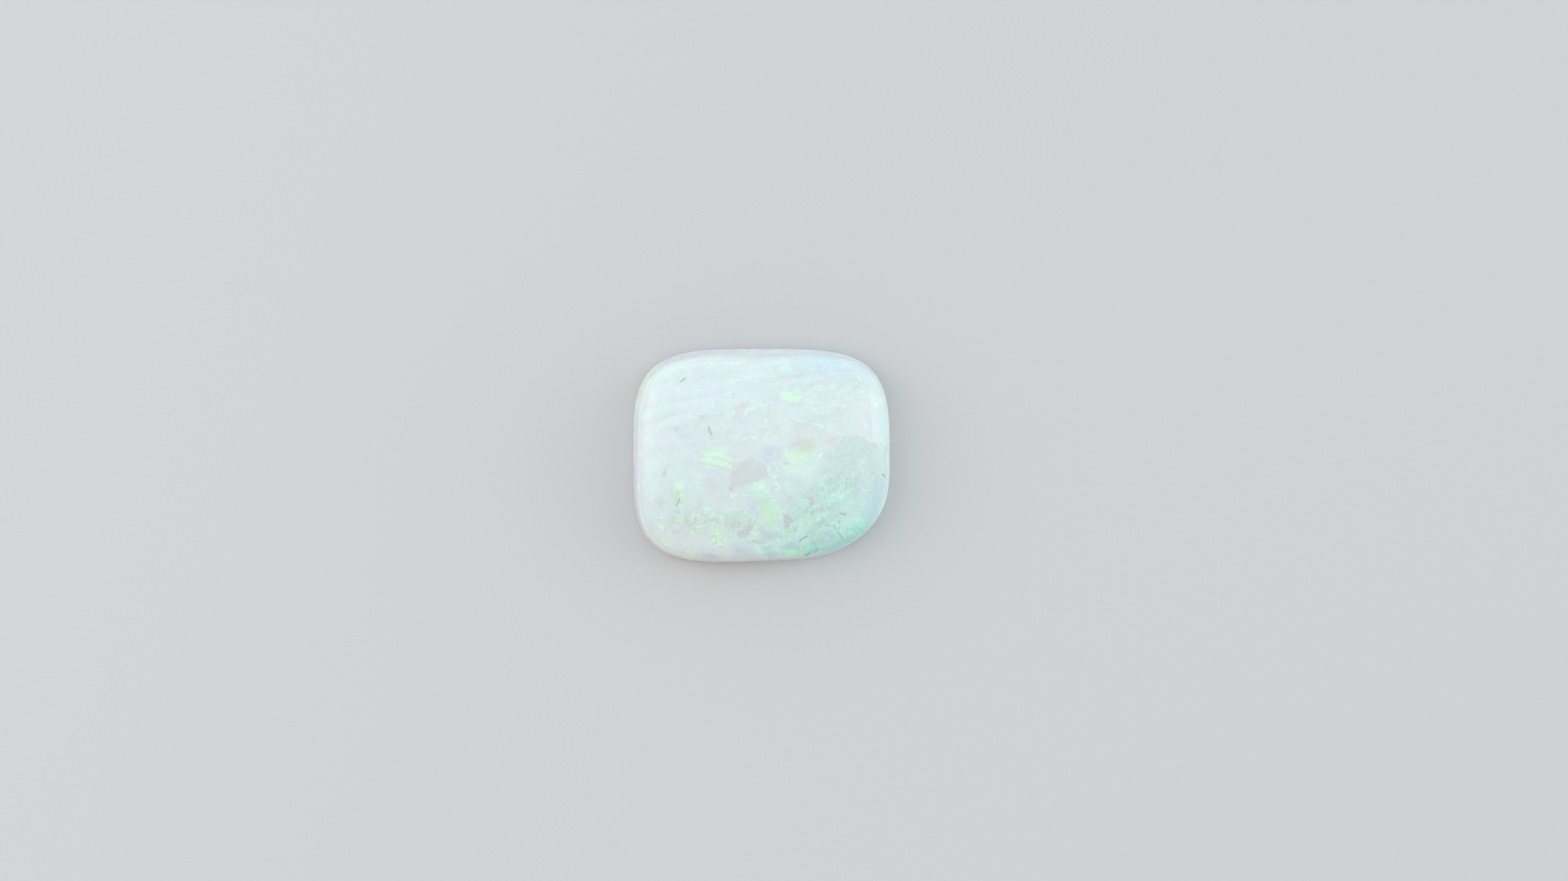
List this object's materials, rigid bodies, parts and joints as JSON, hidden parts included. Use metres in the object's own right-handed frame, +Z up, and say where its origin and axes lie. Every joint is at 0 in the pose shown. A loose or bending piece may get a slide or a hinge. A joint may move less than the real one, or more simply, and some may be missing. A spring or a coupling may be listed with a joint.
{
  "type": "polished opal cabochon",
  "caption": "Cushion-shaped polished white opal cabochon with a low dome, rounded shoulders and a flat back, for setting or display.",
  "frame": {"origin": "middle of the outline's box, on the plane of the flat back", "axes": "+X along the long side, +Y along the short side towards the picture's top edge, +Z up through the dome"},
  "size_m": [0.014, 0.0118, 0.003],
  "materials": {
    "opal": "polished milky white with pale green, blue and pink play of colour"
  },
  "bodies": {
    "root": {"opal": "opal"}
  },
  "joints": []
}
